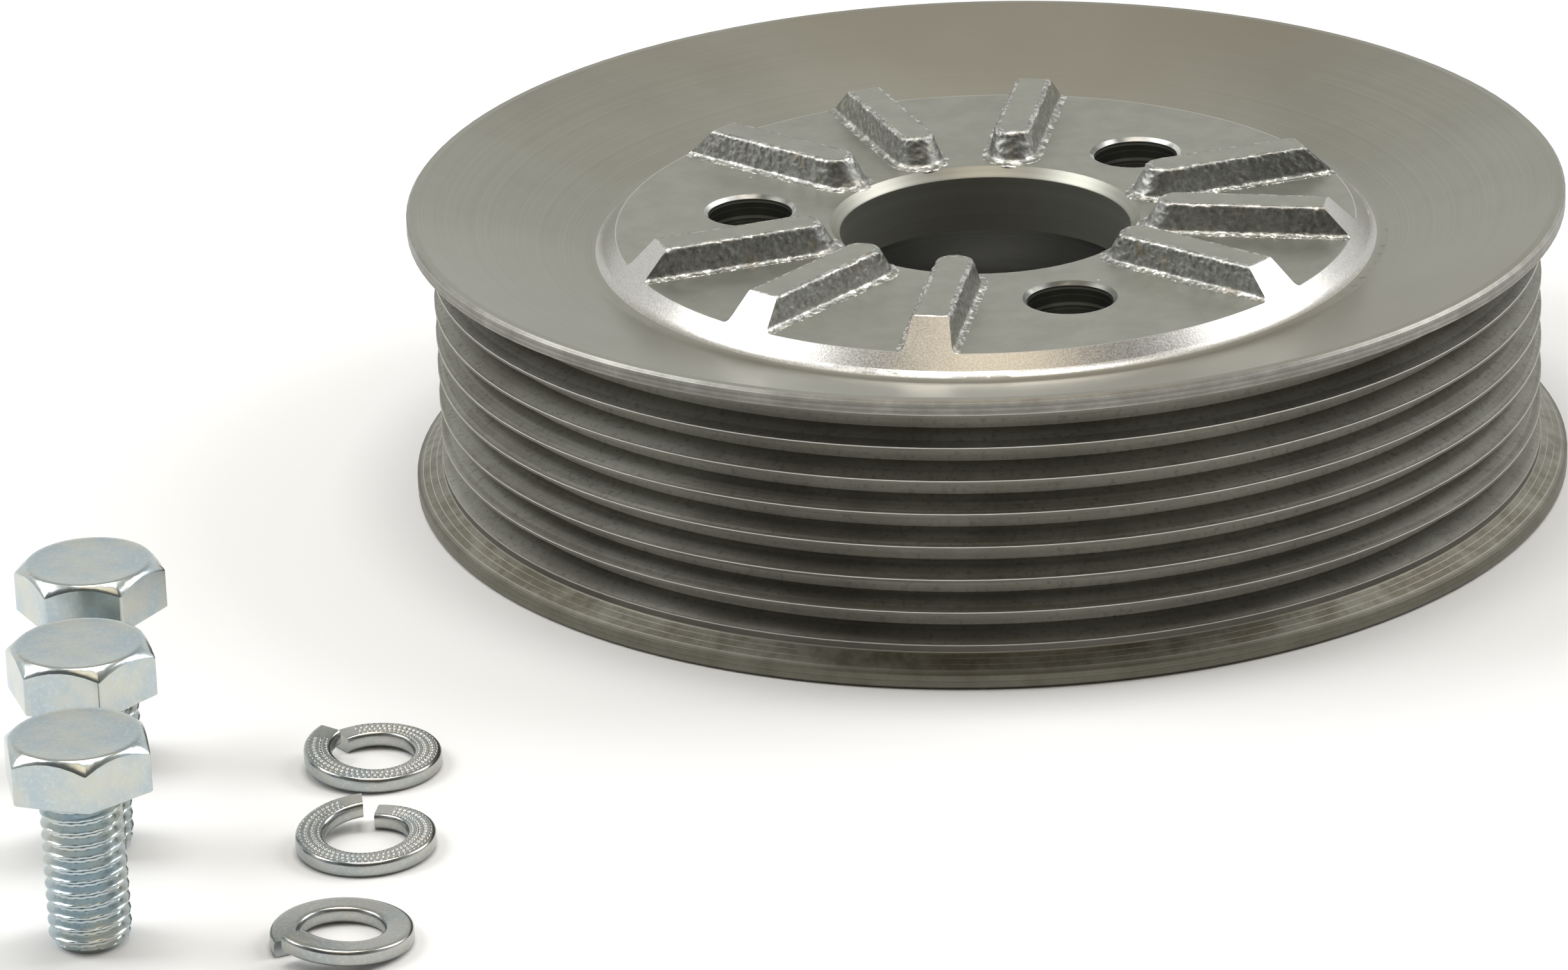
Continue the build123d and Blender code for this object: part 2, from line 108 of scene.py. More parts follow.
# Ribs of the pulley, as the part has them
RIB_LEAD = 1.2
RIB_ROOT_Z = 27.0 * MM
RIB_TOP_Z = 30.5 * MM
PLATE_Z = 27.5 * MM
RIB_BASE_HALF = 2.7 * MM
RIB_TOP_HALF = 1.825 * MM
RIB_INNER_R = 16.8 * MM
RIB_NOSE_R = 18.9 * MM
CONE_SUM = 66.9 * MM
RIB_FOOT = 0.8 * MM
RIB_ROUND = 0.3 * MM
RIB_SINK = 0.1 * MM
RIB_SIDE_STATIONS = 170
RIB_NOSE_STATIONS = 44

# Leaf springs, as the part has them
LEAF_HUB_R = 39.5 * MM
LEAF_PLATE_R = 47.4 * MM
LEAF_SPAN = 48.0
LEAF_WIDTH = 5.0 * MM
LEAF_COUNT = 3
LEAF_CUTS = 16

# Screws and washers
HEAD_AF = 13.0 * MM
HEAD_T = 5.3 * MM
SCREW_LENGTH = 16.0 * MM
SCREW_R = 3.95 * MM
THREAD_PITCH = 1.25 * MM
THREAD_DEPTH = 0.68 * MM
THREAD_POINTS_ROUND = 72
THREAD_ROWS_PER_PITCH = 18
HEAD_SINK = 0.2 * MM
TIP_CHAMFER = 1.0 * MM
NECK_LENGTH = 0.9 * MM
NECK_DEPTH = 0.35 * MM
CROWN_SHARE = 0.945
WASHER_FACE_SHARE = 0.93
SCREW_CORNERS = (280.0, 288.0, 298.0)
WASHER_IN = 4.1 * MM
WASHER_OUT = 6.8 * MM
WASHER_T = 1.6 * MM
WASHER_RISE = 1.4 * MM
WASHER_HALF_GAP = math.radians(7.0)
WASHER_GAPS = (210.0, 88.0, 135.0)
PLAIN_WASHER_GRID = (6, 240)
DOTTED_WASHER_GRID = (32, 800)
DOT_ROWS = 4.0
DOT_STEP = math.radians(5.6)
DOT_DEPTH = 0.14 * MM
DOT_SIZE = 0.10
DOTTED_FROM = math.radians(25)
DOTTED_TO = math.radians(330)


class Nodes:
    """Short calls for building a node tree; noise follows the given coordinates."""

    def __init__(self, tree, coords):
        self.tree = tree
        self.coords = coords

    def add(self, kind, **sockets):
        """A new node with the named inputs set or linked."""
        node = self.tree.nodes.new(kind)
        for key, value in sockets.items():
            self.put(node.inputs[key], value)
        return node

    def put(self, socket, value):
        """Link an output to a socket, or set the socket's value."""
        if isinstance(value, bpy.types.NodeSocket):
            self.tree.links.new(value, socket)
        else:
            socket.default_value = value

    def math(self, operation, a, b=0.0):
        """One math node."""
        node = self.tree.nodes.new("ShaderNodeMath")
        node.operation = operation
        self.put(node.inputs[0], a)
        self.put(node.inputs[1], b)
        return node.outputs[0]

    def step(self, value, low, high):
        """0 below low, 1 above high and a smooth ramp between."""
        node = self.add("ShaderNodeMapRange", Value=value)
        node.interpolation_type = "SMOOTHSTEP"
        node.inputs["From Min"].default_value = low
        node.inputs["From Max"].default_value = high
        return node.outputs["Result"]

    def band(self, value, low, high, soft):
        """1 between low and high, 0 outside."""
        rise = self.step(value, low - soft, low)
        fall = self.step(value, high, high + soft)
        return self.math("SUBTRACT", rise, fall)

    def noise(self, scale, detail=4.0, rough=0.55, vector=None):
        """Noise from 0 to 1."""
        node = self.add("ShaderNodeTexNoise", Vector=vector or self.coords)
        node.inputs["Scale"].default_value = scale
        node.inputs["Detail"].default_value = detail
        node.inputs["Roughness"].default_value = rough
        return node.outputs["Fac"]

    def spots(self, scale, low, high):
        """Small round spots: 1 in the middle of each, 0 outside."""
        node = self.add("ShaderNodeTexVoronoi", Vector=self.coords)
        node.inputs["Scale"].default_value = scale
        return self.drop(node.outputs["Distance"], low, high)

    def drop(self, value, low, high):
        """1 below low, 0 above high and a smooth ramp between."""
        return self.math("SUBTRACT", 1.0, self.step(value, low, high))

    def mean(self, a, b):
        """The mean of two values."""
        return self.math("MULTIPLY", self.math("ADD", a, b), 0.5)

    def span(self, value, low, high):
        """Value from 0 to 1 stretched to run from low to high."""
        node = self.add("ShaderNodeMapRange", Value=value)
        node.inputs["To Min"].default_value = low
        node.inputs["To Max"].default_value = high
        return node.outputs["Result"]

    def mix(self, factor, a, b):
        """A mix of two colours or two numbers."""
        node = self.tree.nodes.new("ShaderNodeMix")
        colour = not isinstance(a, (int, float)) and not isinstance(b, (int, float))
        node.data_type = "RGBA" if colour else "FLOAT"
        group = [s for s in node.inputs if s.enabled]
        self.put(group[0], factor)
        for socket, value in zip(group[1:3], (a, b)):
            wide = colour and isinstance(value, tuple) and len(value) == 3
            self.put(socket, (*value, 1.0) if wide else value)
        return next(s for s in node.outputs if s.enabled)

    def bump(self, height, strength, distance):
        """A bump of that depth in metres."""
        node = self.add("ShaderNodeBump", Height=height)
        node.inputs["Strength"].default_value = strength
        node.inputs["Distance"].default_value = distance
        return node.outputs["Normal"]

    def blend_normals(self, factor, a, b):
        """A mix of two normals."""
        node = self.tree.nodes.new("ShaderNodeMix")
        node.data_type = "VECTOR"
        group = [s for s in node.inputs if s.enabled]
        for socket, value in zip(group, (factor, a, b)):
            self.put(socket, value)
        return next(s for s in node.outputs if s.enabled)


class Graph(Nodes):
    """The nodes of one material, with the radius, the height and both together at hand."""

    def __init__(self, name):
        self.material = bpy.data.materials.new(name)
        self.material.use_nodes = True
        tree = self.material.node_tree
        super().__init__(tree, tree.nodes.new("ShaderNodeTexCoord").outputs["Object"])
        self.shader = tree.nodes["Principled BSDF"]
        parts = self.add("ShaderNodeSeparateXYZ", Vector=self.coords)
        flat = self.add("ShaderNodeCombineXYZ", X=parts.outputs["X"], Y=parts.outputs["Y"])
        length = self.add("ShaderNodeVectorMath", Vector=flat.outputs[0])
        length.operation = "LENGTH"
        self.flat = flat.outputs[0]
        self.radius = length.outputs["Value"]
        self.height = parts.outputs["Z"]
        self.rings = self.add("ShaderNodeCombineXYZ", X=self.radius, Y=self.height).outputs[0]

    def set(self, **sockets):
        """Set or link inputs of the material's own shader."""
        for key, value in sockets.items():
            self.put(self.shader.inputs[key.replace("_", " ")], value)


def shade(colour, factor):
    """A colour made lighter or darker."""
    return tuple(min(1.0, c * factor) for c in colour)


def turned_metal(name, colour, rough, ring_depth=0.006 * MM, blotch=0.18):
    """Metal turned on a lathe: fine rings, faint stains and uneven gloss."""
    g = Graph(name)
    lines = g.noise(5200.0, 3.0, 0.7, g.rings)
    broad = g.noise(900.0, 2.0, 0.5, g.rings)
    stain = g.noise(55.0, 5.0, 0.6)
    tone = g.step(g.mean(lines, stain), 0.3, 0.7)
    g.set(
        Base_Color=g.mix(tone, shade(colour, 1 - blotch), shade(colour, 1 + blotch)),
        Metallic=1.0,
        Roughness=g.span(g.mean(stain, broad), rough - 0.1, rough + 0.1),
        Normal=g.bump(g.math("ADD", lines, broad), 0.6, ring_depth),
    )
    return g.material


def ground_metal(name, colour, rough):
    """Ground or pressed metal: short random scratches and small pits."""
    g = Graph(name)
    grain = g.noise(2600.0, 4.0, 0.7)
    stain = g.noise(70.0, 4.0, 0.6)
    pits = g.spots(900.0, 0.06, 0.2)
    g.set(
        Base_Color=g.mix(g.step(stain, 0.3, 0.7), shade(colour, 0.85), shade(colour, 1.1)),
        Metallic=1.0,
        Roughness=g.span(grain, rough - 0.1, rough + 0.12),
        Normal=g.bump(g.math("SUBTRACT", grain, pits), 0.4, 0.01 * MM),
    )
    return g.material


def coated_metal(name, colour, rough, sheen):
    """Steel under a thin dark or plated coat, rubbed brighter on random high spots."""
    g = Graph(name)
    grain = g.noise(1500.0, 5.0, 0.65)
    cloud = g.noise(45.0, 4.0, 0.6)
    rub = g.step(g.math("MULTIPLY", grain, cloud), 0.36, 0.46)
    g.set(
        Base_Color=g.mix(rub, g.mix(cloud, shade(colour, 0.8), shade(colour, 1.25)), sheen),
        Metallic=g.span(rub, 0.35, 0.8),
        Roughness=g.span(cloud, rough - 0.08, rough + 0.1),
        Normal=g.bump(grain, 0.45, 0.02 * MM),
    )
    return g.material


def moulded(name, colour, rough, grain_depth=0.012 * MM):
    """Moulded plastic, rubber or resin with a fine spark-eroded grain."""
    g = Graph(name)
    grain = g.noise(2200.0, 3.0, 0.6)
    cloud = g.noise(60.0, 3.0, 0.5)
    g.set(
        Base_Color=g.mix(cloud, shade(colour, 0.85), shade(colour, 1.15)),
        Metallic=0.0,
        Roughness=g.span(cloud, rough - 0.06, rough + 0.08),
        Normal=g.bump(grain, 0.5, grain_depth),
    )
    return g.material


def wound_copper(name, colour):
    """Enamelled wire, wound in close rings."""
    g = Graph(name)
    node = g.add("ShaderNodeTexVoronoi", Vector=g.rings)
    node.inputs["Scale"].default_value = 2600.0
    node.inputs["Randomness"].default_value = 0.15
    wire = g.math("SUBTRACT", 1.0, node.outputs["Distance"])
    g.set(
        Base_Color=g.mix(g.step(wire, 0.3, 0.9), shade(colour, 0.35), colour),
        Metallic=0.9,
        Roughness=g.span(g.noise(90.0), 0.25, 0.4),
        Normal=g.bump(wire, 0.8, 0.15 * MM),
    )
    return g.material


def hole_distance(g):
    """Distance in plan to the axis of the nearest bolt hole."""
    nearest = None
    for place in HOLES:
        az = math.radians(FIRST_HOLE_AZ + PLACE_STEP * place)
        away = g.add("ShaderNodeVectorMath")
        away.operation = "DISTANCE"
        g.put(away.inputs[0], g.flat)
        g.put(away.inputs[1], (HOLE_CIRCLE_R * math.cos(az), HOLE_CIRCLE_R * math.sin(az), 0.0))
        reach = away.outputs["Value"]
        nearest = reach if nearest is None else g.math("MINIMUM", nearest, reach)
    return nearest


def groove_masks(g):
    """Where the parts of the belt grooves lie."""
    r, z = g.radius, g.height
    pitch = g.math("DIVIDE", g.math("SUBTRACT", z, FIRST_CREST_Z - GROOVE_PITCH / 2), GROOVE_PITCH)
    share = g.math("FRACT", pitch)
    # Painted highlight: a thin bright line on the upper edge of each ridge tip
    tip = g.step(r, CREST_R - 0.09 * MM, CREST_R - 0.04 * MM)
    crest_highlight = g.math("MULTIPLY", tip, g.band(share, 0.525, 0.548, 0.008))
    # Painted shade on the downward-facing underside just below each ridge tip
    outer = g.step(r, CREST_R - 1.2 * MM, CREST_R - 0.6 * MM)
    below = g.math("MULTIPLY", outer, g.drop(share, 0.515, 0.53))
    deep = g.band(r, *GROOVE_R, 0.1 * MM)
    return {
        "groove": g.math("MULTIPLY", deep, g.band(z, *GROOVE_Z, 0.1 * MM)),
        # depth runs from 0 at the groove bottom to 1 near the tip and drives the painted shade in
        # the grooves
        "depth": g.step(r, ROOT_R + 0.1 * MM, CREST_R - 0.9 * MM),
        "crest_underside_shade": g.math("MULTIPLY", below, g.band(z, *CREST_UNDERSIDE_SHADE_Z, 0.05 * MM)),
        "crest_highlight": g.math("MULTIPLY", crest_highlight, g.band(z, *CREST_Z, 0.05 * MM)),
    }


def pulley_masks(g):
    """Where the kinds of surface of the pulley lie."""
    r, z = g.radius, g.height
    cone = g.math("ADD", r, z)
    front = g.math("MULTIPLY", g.step(z, 27.3 * MM, 27.42 * MM), g.step(r, 16.52 * MM, 16.6 * MM))
    cast = g.drop(cone, CONE_SUM - 0.14 * MM, CONE_SUM - 0.05 * MM)
    bright = g.band(cone, CONE_SUM - 0.1 * MM, CONE_SUM + 0.25 * MM, 0.05 * MM)
    hole = hole_distance(g)
    rim = g.step(r, 60.9 * MM, 61.25 * MM)
    low = g.drop(z, 1.7 * MM, 1.9 * MM)
    beyond = g.step(r, CREST_R + 0.05 * MM, CREST_R + 0.12 * MM)
    flange = g.math("MULTIPLY", beyond, g.band(z, *FLANGE_Z, 0.05 * MM))
    ring_share = g.math("FRACT", g.math("DIVIDE", r, FLANGE_RING_PITCH))
    masks = {
        "plate": g.math("MULTIPLY", front, cast),
        "rear": g.math("MULTIPLY", g.band(z, *REAR_Z, 0.1 * MM), g.band(r, *REAR_R, 0.1 * MM)),
        "cone": g.math("MULTIPLY", bright, g.band(r, *CONE_R, 0.5 * MM)),
        # Painted shade under the dish's overhanging outer edge
        "dish_underside_shade": g.math("MULTIPLY", beyond, g.band(z, *DISH_UNDERSIDE_SHADE_Z, 0.03 * MM)),
        "flange": flange,
        "flange_ring": g.math("MULTIPLY", flange, g.band(ring_share, 0.47, 0.53, 0.04)),
        # Painted shade on the wall of the central hole
        "bore": g.drop(r, BORE_R + 0.02 * MM, BORE_R + 0.1 * MM),
        "hole": g.drop(hole, HOLE_R + 0.02 * MM, HOLE_R + 0.06 * MM),
        "hole_edge": g.band(hole, HOLE_R + 0.06 * MM, HOLE_R + HOLE_CHAMFER, 0.05 * MM),
        "top_rim": g.math("MULTIPLY", rim, g.math("SUBTRACT", 1.0, low)),
        "low_rim": g.math("MULTIPLY", rim, low),
    }
    masks.update(groove_masks(g))
    return masks


# Tones of the pulley's surfaces: one colour, or a dark and a light one
TONES = {
    "turned": ((0.315, 0.312, 0.272), (0.385, 0.382, 0.338)),
    "smudge": (0.300, 0.282, 0.232),
    "plate": ((0.325, 0.328, 0.292), (0.385, 0.388, 0.348)),
    "speck": (0.80, 0.80, 0.77),
    "rear": ((0.16, 0.16, 0.145), (0.36, 0.36, 0.34)),
    "cone": ((0.48, 0.465, 0.43), (0.64, 0.63, 0.60)),
    "flank": ((0.20, 0.190, 0.155), (0.41, 0.405, 0.365)),
    # Darker than the flank tone: painted shade at the groove bottom, mixed in by the depth mask
    "shaded_root": ((0.20, 0.190, 0.155), (0.31, 0.300, 0.255)),
    "grime": (0.10, 0.095, 0.08),
    # Painted shade under each ridge tip
    "crest_underside_shade": ((0.10, 0.095, 0.080), (0.17, 0.165, 0.14)),
    # Painted highlight along the upper edge of each ridge tip
    "crest_highlight": ((0.42, 0.415, 0.38), (0.80, 0.79, 0.75)),
    # Near black: painted shade under the dish's overhanging outer edge
    "dish_underside_shade": (0.045, 0.044, 0.036),
    "flange": ((0.17, 0.157, 0.118), (0.28, 0.272, 0.225)),
    "flange_ring": (0.46, 0.45, 0.41),
    # Darker than the turned metal: painted shade in the central hole
    "bore": ((0.20, 0.20, 0.172), (0.31, 0.31, 0.27)),
    "hole": ((0.17, 0.17, 0.15), (0.55, 0.55, 0.51)),
    "hole_edge": ((0.16, 0.16, 0.145), (0.72, 0.72, 0.70)),
    "top_rim": ((0.19, 0.183, 0.162), (0.40, 0.395, 0.365)),
    "low_rim": ((0.12, 0.112, 0.085), (0.25, 0.242, 0.20)),
}


def pulley_grain(g):
    """The noises that the pulley's colour, gloss and relief share."""
    return {
        "lines": g.noise(3600.0, 3.0, 0.7, g.rings),
        "hoops": g.noise(900.0, 4.0, 0.7, g.rings),
        "stain": g.noise(38.0, 5.0, 0.62),
        "mottle": g.noise(260.0, 5.0, 0.7),
        "grit": g.noise(1500.0, 5.0, 0.72),
        "sand": g.noise(4800.0, 2.0, 0.6),
    }


def groove_colour(g, masks, grain, colour):
    """Adds the grooves to a colour: random streaky stains and grime, painted shade that darkens
    towards the groove bottom and under each ridge tip, and a painted highlight line on each ridge
    tip's upper edge.
    """
    streaks = g.step(g.mean(grain["hoops"], grain["stain"]), 0.36, 0.62)
    # Painted shade: the groove colour runs darker from the tip down to the groove bottom; the
    # streaks are real stains
    flank = g.mix(masks["depth"], g.mix(streaks, *TONES["shaded_root"]), g.mix(streaks, *TONES["flank"]))
    grimy = g.math("MULTIPLY", g.step(grain["grit"], 0.5, 0.68), 0.45)
    colour = g.mix(masks["groove"], colour, g.mix(grimy, flank, TONES["grime"]))
    # Painted shade: dark band on the downward-facing underside of each ridge
    colour = g.mix(masks["crest_underside_shade"], colour, g.mix(streaks, *TONES["crest_underside_shade"]))
    # Painted highlight: thin bright line on the upper edge of each ridge tip
    return g.mix(masks["crest_highlight"], colour, g.mix(grain["mottle"], *TONES["crest_highlight"]))


def rim_colour(g, masks, grain, colour):
    """Adds the grazed outer edges of the dish and the rear flange to a colour."""
    grazes = g.math("MULTIPLY", g.math("ADD", grain["lines"], grain["hoops"]), 0.38)
    scuff = g.math("ADD", grazes, g.math("MULTIPLY", grain["mottle"], 0.24))
    colour = g.mix(masks["top_rim"], colour, g.mix(g.step(scuff, 0.38, 0.62), *TONES["top_rim"]))
    return g.mix(masks["low_rim"], colour, g.mix(g.step(scuff, 0.36, 0.64), *TONES["low_rim"]))


def pulley_colour(g, masks, grain):
    """Colour of the pulley, zone by zone."""
    mottle, stain = grain["mottle"], grain["stain"]
    tone = g.mean(grain["lines"], stain)
    colour = g.mix(g.step(tone, 0.3, 0.7), *TONES["turned"])
    colour = g.mix(g.step(g.noise(13.0, 3.0, 0.5), 0.42, 0.72), colour, TONES["smudge"])
    colour = g.mix(masks["plate"], colour, g.mix(g.step(mottle, 0.25, 0.75), *TONES["plate"]))
    colour = g.mix(masks["rear"], colour, g.mix(grain["grit"], *TONES["rear"]))
    colour = g.mix(masks["cone"], colour, g.mix(g.step(grain["sand"], 0.25, 0.75), *TONES["cone"]))
    colour = groove_colour(g, masks, grain, colour)
    # Painted shade under the dish's overhanging outer edge
    colour = g.mix(masks["dish_underside_shade"], colour, TONES["dish_underside_shade"])
    colour = g.mix(masks["flange"], colour, g.mix(g.step(mottle, 0.35, 0.65), *TONES["flange"]))
    thin_rings = g.math("MULTIPLY", masks["flange_ring"], g.step(stain, 0.35, 0.55))
    colour = g.mix(thin_rings, colour, TONES["flange_ring"])
    # Painted shade: the central hole's wall darkened, with random tone from turning hoops
    colour = g.mix(masks["bore"], colour, g.mix(grain["hoops"], *TONES["bore"]))
    by_height = g.add("ShaderNodeCombineXYZ", X=g.height).outputs[0]
    cuts = g.step(g.noise(1500.0, 1.0, 0.5, by_height), 0.50, 0.58)
    colour = g.mix(masks["hole"], colour, g.mix(cuts, *TONES["hole"]))
    uneven = g.step(g.noise(150.0, 3.0, 0.6), 0.42, 0.60)
    colour = g.mix(masks["hole_edge"], colour, g.mix(uneven, *TONES["hole_edge"]))
    colour = rim_colour(g, masks, grain, colour)
    specks = g.math("MULTIPLY", g.spots(170.0, 0.018, 0.035), masks["plate"])
    return g.mix(specks, colour, TONES["speck"])


def pulley_roughness(g, masks, grain):
    """Roughness of the pulley, zone by zone."""
    rough = g.span(g.mean(grain["stain"], grain["lines"]), 0.34, 0.46)
    rough = g.mix(masks["plate"], rough, g.span(grain["mottle"], 0.40, 0.52))
    rough = g.mix(masks["cone"], rough, g.span(grain["sand"], 0.24, 0.38))
    rough = g.mix(masks["groove"], rough, g.span(grain["hoops"], 0.46, 0.64))
    for zone, value in (("crest_highlight", 0.5), ("top_rim", 0.45), ("low_rim", 0.45), ("rear", 0.55)):
        rough = g.mix(masks[zone], rough, value)
    return rough


def pulley_relief(g, masks, grain):
    """Relief of the pulley: turning lines, cast web, sandy cone, rough rims and grooves."""
    mottle, grit = grain["mottle"], grain["grit"]
    turned = g.bump(grain["lines"], 0.6, 0.006 * MM)
    cast = g.bump(g.math("ADD", mottle, g.math("MULTIPLY", grit, 0.4)), 0.5, 0.025 * MM)
    coarse = g.bump(g.math("ADD", grit, mottle), 0.5, 0.04 * MM)
    sandy = g.bump(grain["sand"], 0.6, 0.016 * MM)
    worn = g.bump(g.math("ADD", grit, grain["hoops"]), 0.5, 0.02 * MM)
    rims = g.math("MAXIMUM", masks["top_rim"], masks["low_rim"])
    gritty = g.math("MAXIMUM", masks["rear"], g.math("MULTIPLY", rims, 0.3))
    normal = g.blend_normals(masks["plate"], turned, cast)
    normal = g.blend_normals(masks["cone"], normal, sandy)
    normal = g.blend_normals(gritty, normal, coarse)
    return g.blend_normals(masks["groove"], normal, worn)


def pulley_metal(name):
    """The pulley: smooth cast web, turned dish and cone, stained grooves, rough rims; painted
    shade in the grooves, under the dish's outer edge and in the central hole, and painted
    highlight lines on the ridge tips.
    """
    g = Graph(name)
    masks = pulley_masks(g)
    grain = pulley_grain(g)
    stained = g.math("MULTIPLY", masks["groove"], 0.25)
    dull = g.math("MAXIMUM", stained, g.math("MULTIPLY", masks["bore"], 0.45))
    g.set(
        Base_Color=pulley_colour(g, masks, grain),
        Metallic=g.math("SUBTRACT", 1.0, dull),
        Roughness=pulley_roughness(g, masks, grain),
        Normal=pulley_relief(g, masks, grain),
    )
    return g.material


def cast_skin_metal(name):
    """The rough as-cast surface of the rib sides, with painted glints on the cast lumps at the rib
    foot and shoulder.
    """
    g = Graph(name)
    grit = g.noise(1500.0, 6.0, 0.75)
    scale = g.noise(420.0, 4.0, 0.6)
    foot = g.drop(g.height, PLATE_Z + 0.05 * MM, PLATE_Z + 0.6 * MM)
    shoulder = g.step(g.height, RIB_TOP_Z - 0.45 * MM, RIB_TOP_Z - 0.1 * MM)
    ends = g.math("MAXIMUM", foot, g.math("MULTIPLY", shoulder, 0.55))
    # Painted glints: bright, glossy spots on the cast lumps at the rib foot and shoulder
    glint_crumbs = g.math("MULTIPLY", ends, g.step(g.noise(1100.0, 3.0, 0.6), 0.48, 0.60))
    side = g.mix(g.step(grit, 0.32, 0.7), (0.22, 0.22, 0.20), (0.42, 0.42, 0.395))
    side = g.mix(g.step(scale, 0.55, 0.75), side, (0.30, 0.26, 0.20))
    g.set(
        Base_Color=g.mix(glint_crumbs, side, (0.86, 0.85, 0.80)),
        Metallic=1.0,
        Roughness=g.mix(glint_crumbs, g.span(scale, 0.30, 0.50), 0.22),
        Normal=g.bump(grit, 0.8, 0.05 * MM),
    )
    return g.material


def bright_zinc(name, plain, warm, pale):
    """Bright zinc plating, with clouds of a warmer tint and fine grain."""
    g = Graph(name)
    cloud = g.noise(170.0, 4.0, 0.6)
    grain = g.noise(2400.0, 3.0, 0.6)
    tint = g.mix(g.step(cloud, 0.38, 0.68), plain, warm)
    g.set(
        Base_Color=g.mix(g.step(grain, 0.45, 0.8), tint, pale),
        Metallic=1.0,
        Roughness=g.span(g.noise(300.0), 0.14, 0.28),
        Normal=g.bump(grain, 0.3, 0.010 * MM),
    )
    return g.material


def new_piece(name, verts, faces, material, smooth_angle=35.0):
    """A mesh object from points and faces, cleaned and smooth-shaded up to an angle."""
    mesh = bpy.data.meshes.new(name)
    mesh.from_pydata([tuple(v) for v in verts], [], faces)
    mesh.validate()
    piece = bpy.data.objects.new(name, mesh)
    bpy.context.scene.collection.objects.link(piece)
    mesh.materials.append(material)
    mesh.polygons.foreach_set("use_smooth", [True] * len(mesh.polygons))
    mesh.set_sharp_from_angle(angle=math.radians(smooth_angle))
    mesh.update()
    return piece


def strip_faces(rows, columns, closed):
    """Quads of a grid of rows x columns points; closed joins the last column to the first."""
    faces = []
    for i in range(rows - 1):
        for j in range(columns if closed else columns - 1):
            k = (j + 1) % columns
            a, b = i * columns + j, i * columns + k
            faces.append((a, b, b + columns, a + columns))
    return faces


def hexagon_outline(corner_azimuth, rounding=0.35 * MM, per_corner=7, per_side=6):
    """Points of a hexagon with rounded corners, anticlockwise."""
    inner = (HEAD_AF / 2 - rounding) / math.cos(math.pi / 6)
    points = []
    for n in range(6):
        az = math.radians(corner_azimuth + 60.0 * n)
        centre = Vector((inner * math.cos(az), inner * math.sin(az), 0))
        for k in range(per_corner):
            turn = az + math.radians(-30.0 + 60.0 * k / (per_corner - 1))
            points.append(centre + rounding * Vector((math.cos(turn), math.sin(turn), 0)))
    dense = []
    for a, b in zip(points, points[1:] + points[:1]):
        steps = per_side if (b - a).length > rounding else 1
        dense += [a.lerp(b, k / steps) for k in range(steps)]
    return dense


def screw_head(verts, faces, corner_azimuth):
    """Adds the hexagon head: chamfered crown, washer face below."""
    outline = hexagon_outline(corner_azimuth)
    crown_r = HEAD_AF / 2 * CROWN_SHARE
    face_r = HEAD_AF / 2 * WASHER_FACE_SHARE
    top = SCREW_LENGTH + HEAD_T
    lift = SCREW_LENGTH + 0.25 * MM
    slope = math.tan(math.radians(40.0))

    def circle(radius, z):
        return [v.normalized() * radius + Vector((0, 0, z)) for v in outline]

    rings = [
        circle(SCREW_R * 0.9, SCREW_LENGTH + 0.15 * MM),
        circle(face_r, SCREW_LENGTH),
        circle(face_r * 1.01, SCREW_LENGTH + 0.2 * MM),
        [Vector((v.x * 0.985, v.y * 0.985, lift)) for v in outline],
        [Vector((v.x, v.y, lift + 0.12 * MM)) for v in outline],
    ]
    for inset, drop in ((0.0, 0.12 * MM), (0.12 * MM, 0.0)):
        ring = []
        for v in outline:
            reach = v.length - inset
            z = top - max(0.0, reach - crown_r) * slope - drop
            ring.append(v.normalized() * reach + Vector((0, 0, z)))
        rings.append(ring)
    rings.append(circle(crown_r + 0.08 * MM, top - 0.05 * MM))
    for share, dip in ((0.985, 0.0), (0.93, 0.0), (0.88, 0.02), (0.5, 0.03), (0.05, 0.03)):
        rings.append(circle(crown_r * share, top - dip * MM))
    start = len(verts)
    for ring in rings:
        verts += ring
    columns = len(outline)
    faces += [tuple(start + i for i in f) for f in strip_faces(len(rings), columns, True)]
    last = start + (len(rings) - 1) * columns
    faces.append(tuple(range(last, last + columns)))


def thread_radius(az, z):
    """Radius of the helical thread at an azimuth and height."""
    turn = (z / THREAD_PITCH - az / (2 * math.pi)) % 1.0
    ridge = abs(turn - 0.5) * 2.0
    shape = min(1.0, max(0.0, (ridge - 0.14) / 0.66))
    shape = shape * shape * (3 - 2 * shape) * 0.35 + shape * 0.65
    radius = SCREW_R - THREAD_DEPTH * shape
    above_thread = z - SCREW_LENGTH + NECK_LENGTH
    if above_thread > 0:
        radius = min(radius, SCREW_R - NECK_DEPTH + above_thread * 0.2)
    return min(radius, SCREW_R - TIP_CHAMFER + z)


def screw_shank(verts, faces):
    """Adds the threaded shank, from the flat tip up into the head."""
    length = SCREW_LENGTH + HEAD_SINK
    columns = THREAD_POINTS_ROUND
    rows = int(length / THREAD_PITCH * THREAD_ROWS_PER_PITCH)
    start = len(verts)
    for i in range(rows):
        z = length * i / (rows - 1)
        for j in range(columns):
            az = 2 * math.pi * j / columns
            r = thread_radius(az, z)
            verts.append(Vector((r * math.cos(az), r * math.sin(az), z)))
    faces += [tuple(start + i for i in f) for f in strip_faces(rows, columns, True)]
    faces.append(tuple(reversed(range(start, start + columns))))


def middle_of(node):
    """The middle of a node in plan."""
    low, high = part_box(node)
    return Vector(((low[0] + high[0]) / 2, (low[1] + high[1]) / 2, 0.0))


def make_screw(number, corner_azimuth, material):
    """One loose screw with a real helical thread."""
    node = f"mounting_screw_{number}"
    verts, faces = [], []
    screw_head(verts, faces, corner_azimuth)
    screw_shank(verts, faces)
    screw = new_piece(f"{node}_detail", verts, faces, material, 28.0)
    screw.location = middle_of(node)
    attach(screw, "field")
    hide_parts(node)


